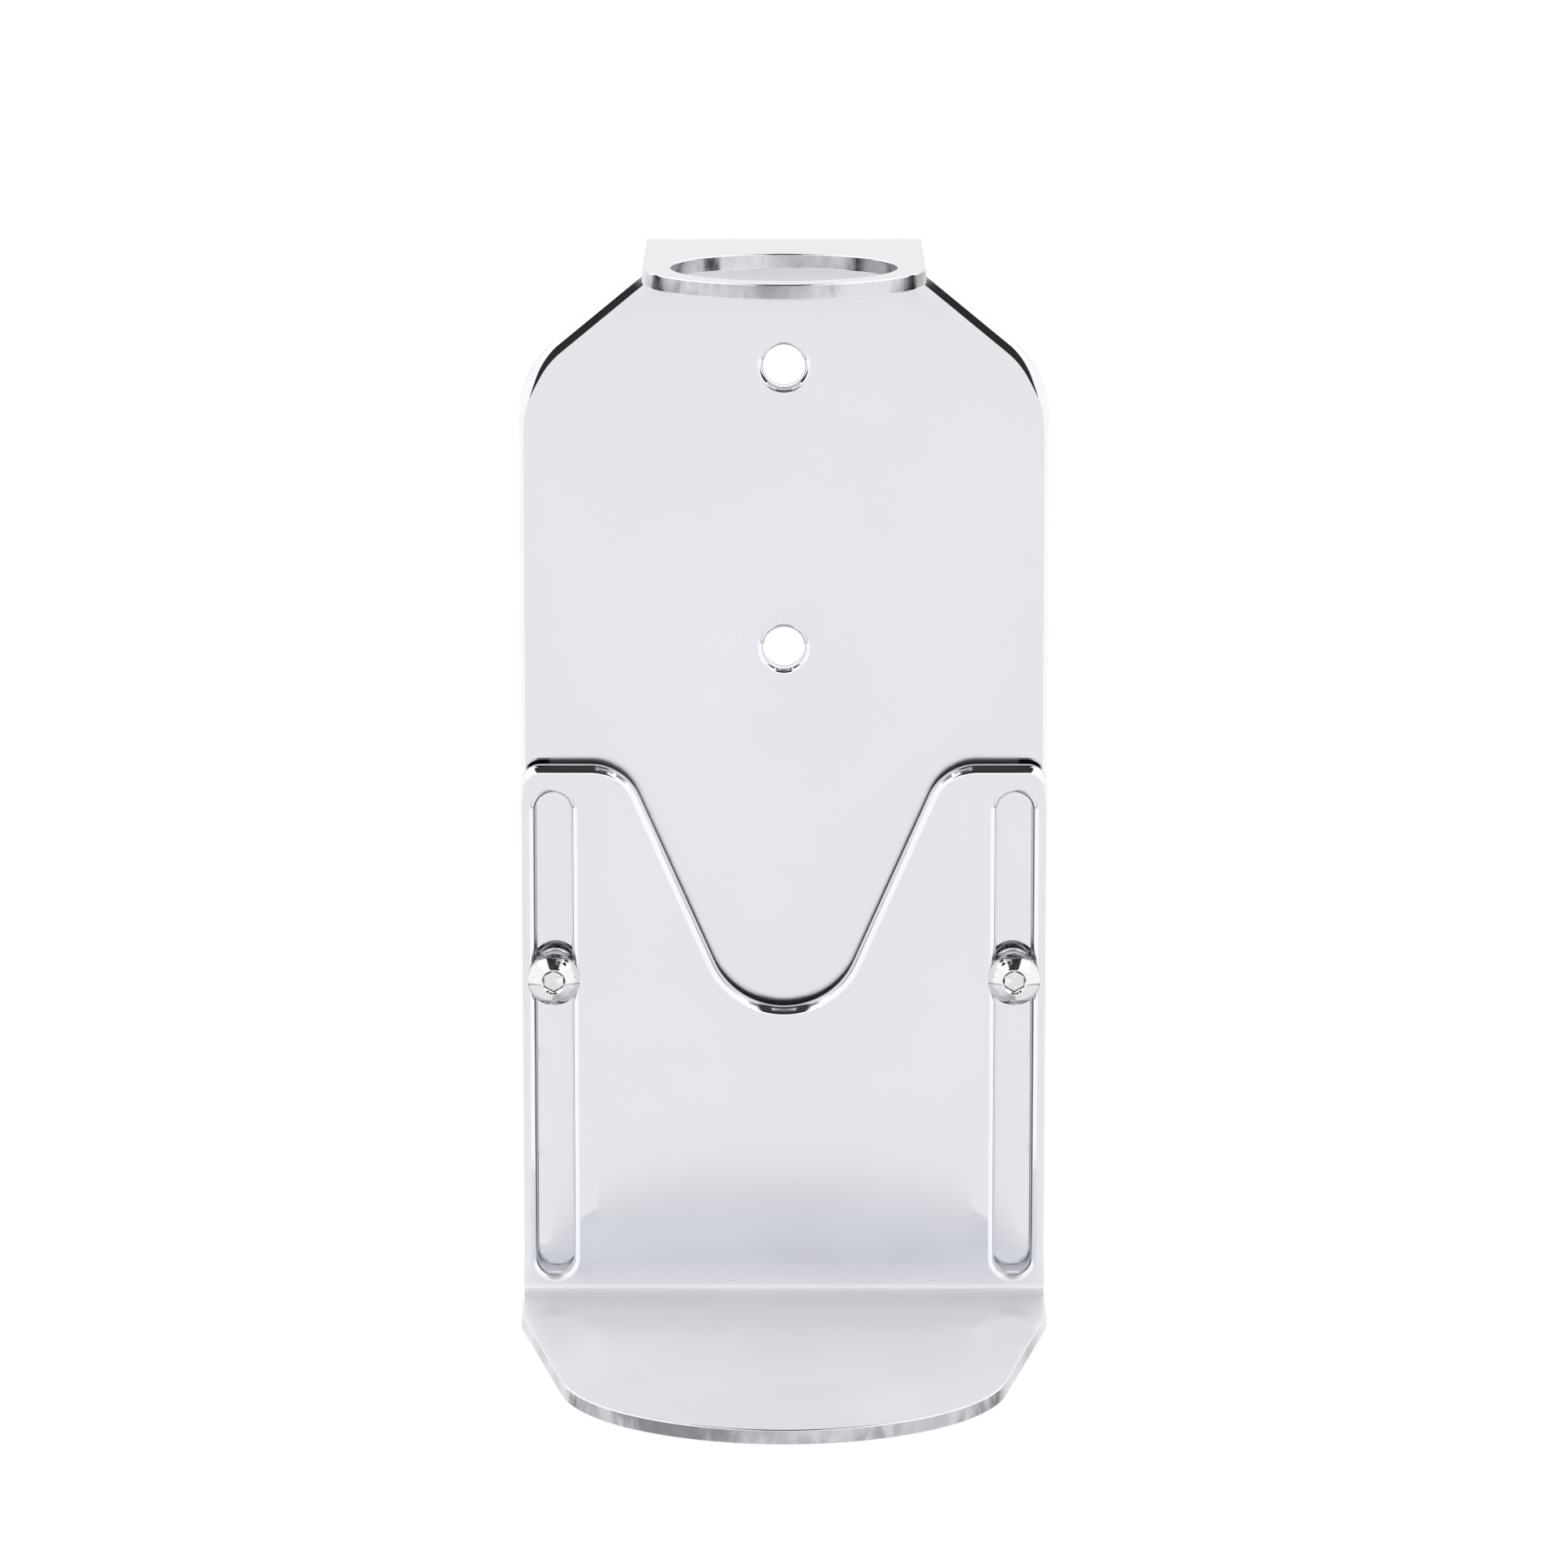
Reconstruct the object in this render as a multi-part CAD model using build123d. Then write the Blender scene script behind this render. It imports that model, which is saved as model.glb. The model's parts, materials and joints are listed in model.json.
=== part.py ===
from build123d import *
import math
import os

# Wall-mounted hair dryer holder: a folded back plate with a ring tongue, and a
# folded tray that slides up and down on two clamp screws.
# Frame: +X right, +Z up, the front towards -Y.  The origin is midway between
# the two wall-screw holes, on the face that lies against the wall.
# All sizes are in millimetres.

# --- Sheet metal shared by both plates ---
SHEET = 3.0
EDGE_ROUND = 1.3

# --- Back plate ---
PLATE_WIDTH = 105.0
PLATE_BOTTOM_Z = -157.0
PLATE_CORNER_R = 4.0
SHOULDER_CORNER_Z = 27.0
SHOULDER_R = 19.0
NECK_Z = 48.0
WALL_HOLE_R = 4.0
WALL_HOLE_SPACING = 56.5
PLATE_HALF = PLATE_WIDTH / 2

# --- Ring tongue, folded forwards from the top of the back plate ---
TONGUE_WIDTH = 54.0
TONGUE_TOP_Z = 54.0
TONGUE_BEND_R = 2.0
RING_HOLE_R = 21.5
RING_REACH = 53.0
TONGUE_HALF = TONGUE_WIDTH / 2

# --- Sliding tray: as wide as the back plate ---
TRAY_WIDTH = 105.0
PLATE_GAP = 3.0
TRAY_TOP_Z = -51.1
TRAY_BOTTOM_Z = -163.1
TRAY_CORNER_R = 4.0
TRAY_BEND_R = 3.0
NOTCH_BOTTOM_Z = -100.4
NOTCH_BOTTOM_R = 15.2
NOTCH_CORNER_R = 10.5
NOTCH_SLANT = math.radians(23.8)
SLOT_X = 46.0
SLOT_WIDTH = 7.2
SLOT_TOP_Z = -56.6
SLOT_LENGTH = 99.0
TRAY_HALF = TRAY_WIDTH / 2

# --- Shelf, folded forwards from the bottom of the tray ---
SHELF_FRONT_Y = -104.0
SHELF_TAPER_START_Y = -22.0
SHELF_SIDE_R = 4.0
SHELF_CORNER_Y = -77.0
SHELF_CORNER_R = 40.0
SHELF_FRONT_R = 45.7

# --- Clamp screws: M6 button heads with a 4 mm hexagon socket ---
SCREW_Z = -94.35
SCREW_R = 3.0
SCREW_LENGTH = 8.0
SCREW_TIP_CHAMFER = 0.6
HEAD_R = 5.25
HEAD_HEIGHT = 3.3
HEAD_RIM = 0.5
HEAD_TOP_R = 2.5
SOCKET_FLATS = 4.0
SOCKET_DEPTH = 2.1

# --- Clinch nuts: pressed into the back plate, their collars space the plates ---
NUT_COLLAR_R = 4.5
NUT_SPIGOT_R = 3.9
NUT_BORE_R = 3.06
NUT_CHAMFER = 0.4
CLAMP_CLEARANCE = 0.05

# --- Places that follow from the sizes above ---
PLATE_FRONT_Y = -SHEET
TRAY_REAR_Y = PLATE_FRONT_Y - PLATE_GAP
TRAY_FRONT_Y = TRAY_REAR_Y - SHEET
HEAD_SEAT_Y = TRAY_FRONT_Y - CLAMP_CLEARANCE
COLLAR_FRONT_Y = TRAY_REAR_Y + CLAMP_CLEARANCE
SIDES = {"left": -1, "right": 1}


def upright(outline, rear_y):
    """A sheet standing up from an X-Z outline, its rear face at rear_y."""
    return Pos(0, rear_y, 0) * extrude(Plane.XZ * outline, amount=SHEET)


def level(outline, top_z):
    """A sheet lying flat from an X-Y outline, its upper face at top_z."""
    return Pos(0, 0, top_z - SHEET) * extrude(outline, amount=SHEET)


def bend(width, inner_r, centre_y, centre_z, first_angle):
    """A quarter of a rolled tube along X that joins an upright sheet to a level one."""
    ring = Circle(inner_r + SHEET) - Circle(inner_r)
    reach = inner_r + SHEET
    quarter = Pos(reach / 2, reach / 2) * Rectangle(reach, reach)
    section = Rot(0, 0, first_angle) * quarter & ring
    return Pos(-width / 2, centre_y, centre_z) * extrude(Plane.YZ * section, amount=width)


def corner_round(outline, x, y, radius):
    """Rounds the corners of an outline at (x, y) and (-x, y)."""
    near = [v for v in outline.vertices() if math.hypot(abs(v.X) - abs(x), v.Y - y) < 0.01]
    return fillet(near, radius)


def round_front(sheet, front_y, low_z=-math.inf, high_z=math.inf):
    """Rounds the edges of an upright sheet's front face that lie between two heights."""
    front = sheet.edges().filter_by_position(Axis.Y, front_y, front_y)
    return fillet([e for e in front if low_z < e.center().Z < high_z], EDGE_ROUND)


def back_upright():
    """The wall plate with sloped shoulders and a narrow neck, before the fold."""
    fold_z = TONGUE_TOP_Z - SHEET - TONGUE_BEND_R
    half = [
        (TONGUE_HALF, fold_z),
        (TONGUE_HALF, NECK_Z),
        (PLATE_HALF, SHOULDER_CORNER_Z),
        (PLATE_HALF, PLATE_BOTTOM_Z),
    ]
    mirrored = [(-x, z) for x, z in reversed(half)]
    outline = make_face(Polyline(*half, *mirrored, close=True))
    outline = corner_round(outline, PLATE_HALF, SHOULDER_CORNER_Z, SHOULDER_R)
    outline = corner_round(outline, PLATE_HALF, PLATE_BOTTOM_Z, PLATE_CORNER_R)
    for z in (-WALL_HOLE_SPACING / 2, WALL_HOLE_SPACING / 2):
        outline -= Pos(0, z) * Circle(WALL_HOLE_R)
    plate = round_front(upright(outline, 0.0), PLATE_FRONT_Y, high_z=NECK_Z - EDGE_ROUND)
    for side in SIDES.values():
        plate -= Pos(side * SLOT_X, 0, SCREW_Z) * Rot(90, 0, 0) * Cylinder(NUT_SPIGOT_R, 3 * SHEET)
    return plate


def ring_tongue():
    """The level tongue: a half-round end about a large round hole."""
    fold_y = PLATE_FRONT_Y - TONGUE_BEND_R
    straight = Pos(0, (fold_y - RING_REACH) / 2) * Rectangle(TONGUE_WIDTH, RING_REACH + fold_y)
    outline = straight + Pos(0, -RING_REACH) * Circle(TONGUE_HALF)
    outline -= Pos(0, -RING_REACH) * Circle(RING_HOLE_R)
    return level(outline, TONGUE_TOP_Z)


def back_plate():
    """The wall plate, its fold and the ring tongue as one folded sheet."""
    fold = bend(
        TONGUE_WIDTH,
        TONGUE_BEND_R,
        PLATE_FRONT_Y - TONGUE_BEND_R,
        TONGUE_TOP_Z - SHEET - TONGUE_BEND_R,
        first_angle=0,
    )
    return back_upright() + fold + ring_tongue()


def notch():
    """The V notch in the tray's top edge, with a round bottom and round upper corners."""
    centre_z = NOTCH_BOTTOM_Z + NOTCH_BOTTOM_R
    touch_x = NOTCH_BOTTOM_R * math.cos(NOTCH_SLANT)
    touch_z = centre_z - NOTCH_BOTTOM_R * math.sin(NOTCH_SLANT)
    top_x = touch_x + (TRAY_TOP_Z - touch_z) * math.tan(NOTCH_SLANT)
    return touch_x, touch_z, top_x


def tray_upright():
    """The front plate with its V notch and two long slots, above the fold."""
    fold_z = TRAY_BOTTOM_Z + SHEET + TRAY_BEND_R
    touch_x, touch_z, top_x = notch()
    bottom = ThreePointArc((touch_x, touch_z), (0, NOTCH_BOTTOM_Z), (-touch_x, touch_z))
    right = Polyline(
        (touch_x, touch_z),
        (top_x, TRAY_TOP_Z),
        (TRAY_HALF, TRAY_TOP_Z),
        (TRAY_HALF, fold_z),
        (-TRAY_HALF, fold_z),
        (-TRAY_HALF, TRAY_TOP_Z),
        (-top_x, TRAY_TOP_Z),
        (-touch_x, touch_z),
    )
    outline = make_face(bottom.edges() + right.edges())
    outline = corner_round(outline, top_x, TRAY_TOP_Z, NOTCH_CORNER_R)
    outline = corner_round(outline, TRAY_HALF, TRAY_TOP_Z, TRAY_CORNER_R)
    for side in SIDES.values():
        slot = Rot(0, 0, 90) * SlotOverall(SLOT_LENGTH, SLOT_WIDTH)
        outline -= Pos(side * SLOT_X, SLOT_TOP_Z - SLOT_LENGTH / 2) * slot
    return round_front(upright(outline, TRAY_REAR_Y), TRAY_FRONT_Y, low_z=fold_z + EDGE_ROUND)


def shelf():
    """The level shelf: tapered sides, eased corners and an arc along the front."""
    fold_y = TRAY_FRONT_Y - TRAY_BEND_R
    centre_y = SHELF_FRONT_Y + SHELF_FRONT_R
    arc_x = math.sqrt(SHELF_FRONT_R**2 - (SHELF_CORNER_Y - centre_y) ** 2)
    front = ThreePointArc((arc_x, SHELF_CORNER_Y), (0, SHELF_FRONT_Y), (-arc_x, SHELF_CORNER_Y))
    back = Polyline(
        (-arc_x, SHELF_CORNER_Y),
        (-TRAY_HALF, SHELF_TAPER_START_Y),
        (-TRAY_HALF, fold_y),
        (TRAY_HALF, fold_y),
        (TRAY_HALF, SHELF_TAPER_START_Y),
        (arc_x, SHELF_CORNER_Y),
    )
    outline = make_face(front.edges() + back.edges())
    outline = corner_round(outline, arc_x, SHELF_CORNER_Y, SHELF_CORNER_R)
    outline = corner_round(outline, TRAY_HALF, SHELF_TAPER_START_Y, SHELF_SIDE_R)
    return level(outline, TRAY_BOTTOM_Z + SHEET)


def sliding_tray():
    """The front plate, its fold and the shelf as one folded sheet."""
    fold = bend(
        TRAY_WIDTH,
        TRAY_BEND_R,
        TRAY_FRONT_Y - TRAY_BEND_R,
        TRAY_BOTTOM_Z + SHEET + TRAY_BEND_R,
        first_angle=-90,
    )
    return tray_upright() + fold + shelf()


def turned(profile):
    """A turned part from a half profile of (radius, y) points, about the Y axis."""
    return revolve(make_face(Polyline(*profile, close=True)), Axis.Y)


def clinch_nut():
    """A press-in nut: a spigot flush with the wall face and a collar in front."""
    profile = [
        (NUT_BORE_R, 0.0),
        (NUT_SPIGOT_R, 0.0),
        (NUT_SPIGOT_R, PLATE_FRONT_Y),
        (NUT_COLLAR_R, PLATE_FRONT_Y),
        (NUT_COLLAR_R, COLLAR_FRONT_Y + NUT_CHAMFER),
        (NUT_COLLAR_R - NUT_CHAMFER, COLLAR_FRONT_Y),
        (NUT_BORE_R, COLLAR_FRONT_Y),
    ]
    return turned(profile)


def dome_middle():
    """The middle of the head's spherical side, between its rim and its flat top."""
    span = HEAD_TOP_R**2 + HEAD_HEIGHT**2 - HEAD_R**2 - HEAD_RIM**2
    centre = span / (2 * (HEAD_HEIGHT - HEAD_RIM))
    radius = math.hypot(HEAD_R, HEAD_RIM - centre)
    rim_angle = math.atan2(HEAD_RIM - centre, HEAD_R)
    top_angle = math.atan2(HEAD_HEIGHT - centre, HEAD_TOP_R)
    middle = (rim_angle + top_angle) / 2
    return radius * math.cos(middle), HEAD_SEAT_Y - centre - radius * math.sin(middle)


def clamp_screw():
    """A button-head screw with a hexagon socket, its head in front."""
    top_y = HEAD_SEAT_Y - HEAD_HEIGHT
    tip_y = HEAD_SEAT_Y + SCREW_LENGTH
    rim = (HEAD_R, HEAD_SEAT_Y - HEAD_RIM)
    crown = (HEAD_TOP_R, top_y)
    dome = ThreePointArc(rim, dome_middle(), crown)
    rest = Polyline(
        crown,
        (0.0, top_y),
        (0.0, tip_y),
        (SCREW_R - SCREW_TIP_CHAMFER, tip_y),
        (SCREW_R, tip_y - SCREW_TIP_CHAMFER),
        (SCREW_R, HEAD_SEAT_Y),
        (HEAD_R, HEAD_SEAT_Y),
        rim,
    )
    body = revolve(make_face(dome.edges() + rest.edges()), Axis.Y)
    hexagon = RegularPolygon(SOCKET_FLATS / 2, 6, major_radius=False)
    socket = Pos(0, top_y + SOCKET_DEPTH, 0) * extrude(Plane.XZ * hexagon, amount=2 * SOCKET_DEPTH)
    return body - socket


def build():
    """All pieces by node name."""
    pieces = {"back_plate": back_plate(), "sliding_tray": sliding_tray()}
    for name, side in SIDES.items():
        place = Pos(side * SLOT_X, 0, SCREW_Z)
        pieces[f"clinch_nut_{name}"] = place * clinch_nut()
        pieces[f"clamp_screw_{name}"] = place * clamp_screw()
    return pieces


os.makedirs("parts", exist_ok=True)
for node, piece in build().items():
    export_step(piece, f"parts/{node}.step")
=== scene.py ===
import json
import math

import bmesh
import bpy
import numpy as np
from mathutils.geometry import delaunay_2d_cdt
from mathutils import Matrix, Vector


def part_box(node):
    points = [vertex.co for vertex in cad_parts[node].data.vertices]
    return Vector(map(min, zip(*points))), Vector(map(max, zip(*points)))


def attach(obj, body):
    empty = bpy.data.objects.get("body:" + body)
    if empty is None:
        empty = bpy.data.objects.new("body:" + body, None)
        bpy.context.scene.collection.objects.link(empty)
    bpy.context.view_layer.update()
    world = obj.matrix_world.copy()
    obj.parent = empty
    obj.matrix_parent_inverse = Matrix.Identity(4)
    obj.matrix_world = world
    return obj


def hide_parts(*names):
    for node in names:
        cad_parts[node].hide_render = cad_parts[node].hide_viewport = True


# The looks of a wall-mounted hair dryer holder: two folded sheets of mirror-polished
# steel, two button-head clamp screws and two clinch nuts.  Everything is in metres, in
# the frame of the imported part: +X right, +Z up, the front towards -Y.
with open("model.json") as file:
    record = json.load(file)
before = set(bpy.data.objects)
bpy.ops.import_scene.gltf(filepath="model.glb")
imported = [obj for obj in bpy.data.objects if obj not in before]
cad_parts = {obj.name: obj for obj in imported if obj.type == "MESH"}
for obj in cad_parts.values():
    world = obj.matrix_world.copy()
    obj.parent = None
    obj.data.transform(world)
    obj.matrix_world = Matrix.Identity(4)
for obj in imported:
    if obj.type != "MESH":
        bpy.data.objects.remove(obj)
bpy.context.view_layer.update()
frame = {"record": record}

MM = 0.001
SIDES = {"left": -1, "right": 1}
mounts = {mount["name"]: mount for mount in frame["record"]["mounts"]}

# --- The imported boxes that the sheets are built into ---
plate_low, plate_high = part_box("back_plate")
tray_low, tray_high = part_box("sliding_tray")
nut_low, nut_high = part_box("clinch_nut_right")
screw_low, screw_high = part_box("clamp_screw_right")
SCREW_X = (screw_low.x + screw_high.x) / 2
SCREW_Z = (screw_low.z + screw_high.z) / 2

# --- Sheet metal ---
SHEET = 3.0 * MM
FRONT_ROUND = 1.4 * MM
SHOULDER_ROUND = 2.5 * MM
PLATE_SIDE_ROUND = 1.0 * MM
TRAY_TOP_ROUND = 1.8 * MM
TRAY_SIDE_ROUND = 0.35 * MM
ARRIS = 0.25 * MM
NECK_CORNER_R = 1.5 * MM
SHOULDER_RUN_IN = 12.0 * MM
TRAY_TOP_RUN_OUT = 6.0 * MM
PLATE_FOLD_RUN_OUT = 1.0 * MM
TRAY_FOLD_RUN_OUT = 2.5 * MM

# --- Back plate ---
PLATE_CORNER_R = 4.0 * MM
SHOULDER_CORNER_Z = 27.0 * MM
SHOULDER_R = 19.0 * MM
NECK_Z = 48.0 * MM
TONGUE_BEND_R = 2.0 * MM
TONGUE_HALF = 27.0 * MM
NUT_HOLE_R = 3.9 * MM

# --- Tray ---
TRAY_CORNER_R = 4.0 * MM
TRAY_BEND_R = 3.0 * MM
NOTCH_BOTTOM_Z = -100.4 * MM
NOTCH_BOTTOM_R = 15.2 * MM
NOTCH_CORNER_R = 10.5 * MM
NOTCH_SLANT = math.radians(23.8)
SLOT_HALF = 3.6 * MM
SLOT_TOP_Z = -56.6 * MM
SLOT_LENGTH = 99.0 * MM
SHELF_TAPER_START_Y = -22.0 * MM
SHELF_SIDE_R = 4.0 * MM
SHELF_CORNER_Y = -77.0 * MM
SHELF_CORNER_R = 40.0 * MM
SHELF_FRONT_R = 45.7 * MM

# --- How finely the meshes are divided ---
ARC_STEP = math.radians(3.0)
EDGE_STEP = 4.0 * MM
FACE_STEP = 5.0 * MM
ROUND_STEPS = 8
ARRIS_STEPS = 3
BEND_STEPS = 16
WELD = 1e-7
STATION_CLEAR = EDGE_STEP / 3
FACE_CLEAR = 0.45 * FACE_STEP
PAIR_FLATNESS = math.radians(0.5)
PAIR_SKEW = math.radians(40)
EDGE_FADE = 1.5 * MM
FOLD_FADE = 2.5 * MM

# --- Clamp screws and clinch nuts ---
HEAD_R = (screw_high.x - screw_low.x) / 2
HEAD_RIM = 0.5 * MM
HEAD_TOP_R = 2.5 * MM
SOCKET_HALF = 2.0 * MM
SOCKET_MOUTH_R = 2.4 * MM
SOCKET_DEPTH = 2.1 * MM
DRILL_R = 1.8 * MM
DRILL_TIP_R = 0.6 * MM
DRILL_DEPTH = 0.3 * MM
CLAMP_CLEARANCE = 0.05 * MM
SCREW_R = 3.0 * MM
TIP_CHAMFER = 0.6 * MM
TIP_FACE_R = 2.22 * MM
THREAD_PITCH = 1.0 * MM
THREAD_DEPTH = 0.55 * MM
THREAD_START = 1.2 * MM
THREAD_FLAT = 0.12
THREAD_STEPS = 12
COLLAR_R = (nut_high.x - nut_low.x) / 2
COLLAR_CHAMFER = 0.4 * MM
BORE_R = 3.06 * MM
BORE_CHAMFER = 0.3 * MM
EASE_R = 0.15 * MM
CROWN_EASE = 0.045 * MM
EASE_STEPS = 4
DOME_STEPS = 20
TURN_STEPS = 96
SHARP_ANGLE = math.radians(32)

# --- Surfaces: noise scales are features a metre, and a span is the part of it that shows ---
STEEL = (0.725, 0.732, 0.765)
SCREW_COLOUR = (0.74, 0.74, 0.75)
NUT_COLOUR = (0.56, 0.57, 0.59)
CUT_COLOUR = (0.56, 0.57, 0.60)
FLOOR_COLOUR = (0.7, 0.7, 0.7)
FLAT_ROUGH = 0.19
EDGE_ROUGH = 0.05
FOLD_ROUGH = 0.42
FOLD_METAL = 0.6
SHELF_ROUGH = 0.36
SHELF_METAL = 0.55
CRISP_START = 0.12
CRISP_FULL = 0.2
LEVEL_CRISP_START = 0.8
LEVEL_CRISP_FULL = 0.9
HAZE_SCALE = 26
HAZE_SPAN = (0.35, 0.75)
HAZE_ROUGH = (0.85, 1.1)
HAZE_TINT = (0.985, 1.01)
SMEAR_SCALE = 60
SMEAR_SPAN = (0.52, 0.72)
SMEAR_ROUGH = 0.015
WAVE_SCALE = 18
WAVE_HEIGHT = 0.02 * MM
HAIR_SCALE = 1500
HAIR_HEIGHT = 0.0004 * MM
LINE_SCALE = 2200
LINE_HEIGHT = 0.0008 * MM
BLOTCH_SCALE = 420
BLOTCH_SPAN = (0.35, 0.7)
BLOTCH_HEIGHT = 2 * LINE_HEIGHT
BLOTCH_SHARE = 0.25
CUT_ROUGH = (0.14, 0.3)
# Painted reflection on the cut edge: its colour is darkened in random zones down to the next share;
# the zones' noise scale and span follow.
CUT_PAINTED_SHADE = 0.45
PAINTED_SHEEN_SCALE = 38
PAINTED_SHEEN_SPAN = (0.48, 0.72)
SCREW_ROUGH = 0.07
SCREW_GROOVE = 0.3 * HAIR_HEIGHT
NUT_ROUGH = 0.22
NUT_GROOVE = 3 * HAIR_HEIGHT
MARK_SCALE = 900
MARK_SPAN = (0.35, 0.7)
MARK_ROUGH = (0.75, 1.5)
MARK_TINT_SPAN = (0.4, 0.75)
MARK_TINT = 0.93
GROOVE_SCALE = 5200
PAPER_ROUGH = 0.9
PAPER_SHEEN = 0.1
PAPER_CLOUD_SCALE = 0.8
PAPER_CLOUD = 0.99
TOOTH_SCALE = 300
TOOTH_HEIGHT = 0.1 * MM

# --- Studio: brightness 1 is the picture's white, lengths are in metres, a rise is the
# z of a direction and a lean is its |x| / z ---
HORIZON = 1.05
SHELF_BAND = 2.3
SIDE_LIGHT = 1.5
OVERHEAD_GAP = 0.06
BACK_HORIZON = 0.97
BACK_LIGHT = 1.4
BAND_RISE = (0.22, 0.25)
GAP_RISE = (0.33, 0.36)
GAP_LEAN = (0.38, 0.5)
LOWEST_RISE = 0.001
BACK_RISE = (0.2, 0.4)
TO_BACK = (0.2, 0.4)
SUN_STRENGTH = 1.58
SUN_SPREAD = math.radians(60)
SUN_TILT = (math.radians(12), math.radians(-8), 0)
SOFT_BOX = 1.3
BOX_DISTANCE = 1.3
BOX_CLEAR = 0.08
BOX_HEIGHT = 1.4
BOX_FIRST = math.radians(16)
BOX_LAST = math.radians(140)
BOX_COLUMNS = 24
LOW_CARD = 0.35
LOW_CARD_NEAR = BOX_DISTANCE + 0.02
LOW_CARD_FAR = BOX_DISTANCE + 0.6
LOW_CARD_RISE = 0.01
FLAG = 0.03
FLAG_DISTANCE = 0.05
FLAG_LOWEST = math.cos(math.radians(75))
FLAG_FIRST = math.radians(5)
FLAG_LAST = math.radians(43)
FLAG_STEPS = 8
FRONT_FLAG_Y = -0.2
FRONT_FLAG_HALF = 0.055
FRONT_FLAG_LOW = 0.042
FRONT_FLAG_HIGH = 0.125
FLOOR_DROP = 0.45
FLOOR_HALF = 14.0

# --- Camera ---
CAMERA_PITCH = math.radians(11.09)
CAMERA_DISTANCE = 1.41315
LOOK_AT_Z = -56.37 * MM
LENS = 162.1
SENSOR = 36.0
SIGHT = 60.0


# ---------------------------------------------------------------- outlines

def unit(v):
    """The vector's direction."""
    return v / np.linalg.norm(v)


def right_of(d):
    """The direction a quarter turn clockwise from d."""
    return np.array((d[1], -d[0]))


def corner(before, at, after, radius):
    """The arc that rounds one corner of an outline: points, and normals out of the sheet."""
    into, away = unit(at - before), unit(after - at)
    turn = math.atan2(into[0] * away[1] - into[1] * away[0], into @ away)
    start = at - into * radius * math.tan(abs(turn) / 2)
    side = math.copysign(1, turn)
    centre = start - side * radius * right_of(into)
    return arc(centre, radius, right_of(into), turn)


def arc(centre, radius, first_normal, turn):
    """Points and normals along an arc; a turn to the left bulges out of the sheet."""
    steps = max(3, math.ceil(abs(turn) / ARC_STEP))
    angles = np.linspace(0, turn, steps + 1)
    c, s = np.cos(angles), np.sin(angles)
    x, y = first_normal
    normals = np.stack((c * x - s * y, s * x + c * y), 1)
    return centre + math.copysign(radius, turn) * normals, normals


def rounded(corners):
    """The arcs of a polygon of (x, s, radius) corners, listed anticlockwise."""
    spots = [np.array(c[:2]) for c in corners]
    arcs = []
    for i, (_, _, radius) in enumerate(corners):
        arcs.append(corner(spots[i - 1], spots[i], spots[(i + 1) % len(spots)], radius))
    return arcs


def joined(arcs, stations=()):
    """One closed outline from arcs and the straight runs between them.

    A run gets a point every EDGE_STEP, and one at each station that it crosses."""
    points, normals = [], []
    for i, (arc_points, arc_normals) in enumerate(arcs):
        points.extend(arc_points)
        normals.extend(arc_normals)
        start, end = arc_points[-1], arcs[(i + 1) % len(arcs)][0][0]
        length = np.linalg.norm(end - start)
        if length < WELD:
            points.pop()
            normals.pop()
            continue
        for share in run_shares(start, end, length, stations):
            points.append(start + share * (end - start))
            normals.append(right_of(unit(end - start)))
    return np.array(points), np.array(normals)


def run_shares(start, end, length, stations):
    """Where a straight run is divided, as shares of its length."""
    count = max(1, round(length / EDGE_STEP))
    marks = []
    for station in stations:
        if min(start[1], end[1]) < station < max(start[1], end[1]):
            marks.append((station - start[1]) / (end[1] - start[1]))
    even = [k / count for k in range(1, count)]
    gap = STATION_CLEAR / length
    return sorted(marks + [e for e in even if all(abs(e - m) > gap for m in marks)])


def mirrored(half):
    """A closed list of corners from its right half."""
    return half + [(-x, s, radius) for x, s, radius in reversed(half)]


def hole(x, s, radius):
    """A round hole, its normals towards its centre."""
    return joined([arc(np.array((x, s)), radius, np.array((-1.0, 0.0)), -2 * math.pi)])


def slot(x, low, high, half):
    """A slot with round ends between two values of s, its normals into the opening."""
    ends = []
    for s, first in ((low + half, -1.0), (high - half, 1.0)):
        ends.append(arc(np.array((x, s)), half, np.array((first, 0.0)), -math.pi))
    return joined(ends)


# ---------------------------------------------------------------- folded sheets

class Fold:
    """A quarter bend that turns an upright sheet forwards at the height z.

    The blank lies in x and s, with s growing through the bend and w growing from the
    sheet's rear face to its front face.  s is 0 where the bend starts.  up is 1 for a bend
    at the sheet's top and -1 for one at its bottom."""

    def __init__(self, z, up, rear_y, inner_r):
        self.z = z
        self.up = up
        self.outer_r = inner_r + SHEET
        self.centre_y = rear_y - self.outer_r
        self.length = math.pi / 2 * (inner_r + SHEET / 2)
        self.stations = np.linspace(0, self.length, BEND_STEPS + 1)

    def s_of_z(self, z):
        """The blank's s at a height of the upright part."""
        return (z - self.z) * self.up

    def s_of_y(self, y):
        """The blank's s at a depth of the level part."""
        return self.length + self.centre_y - y

    def place(self, blank, normals):
        """Folded points and normals from points and normals of the blank."""
        x, s, w = blank.T
        angle = np.clip(s / self.length, 0, 1) * math.pi / 2
        c, sn = np.cos(angle), np.sin(angle)
        radius = self.outer_r - w
        before, after = np.minimum(s, 0), np.maximum(s - self.length, 0)
        y = self.centre_y + radius * c - after
        z = self.z + self.up * (before + radius * sn)
        nx, ns, nw = normals.T
        out_y = -ns * sn - nw * c
        out_z = self.up * (ns * c - nw * sn)
        return np.stack((x, y, z), 1), np.stack((nx, out_y, out_z), 1)


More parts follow.
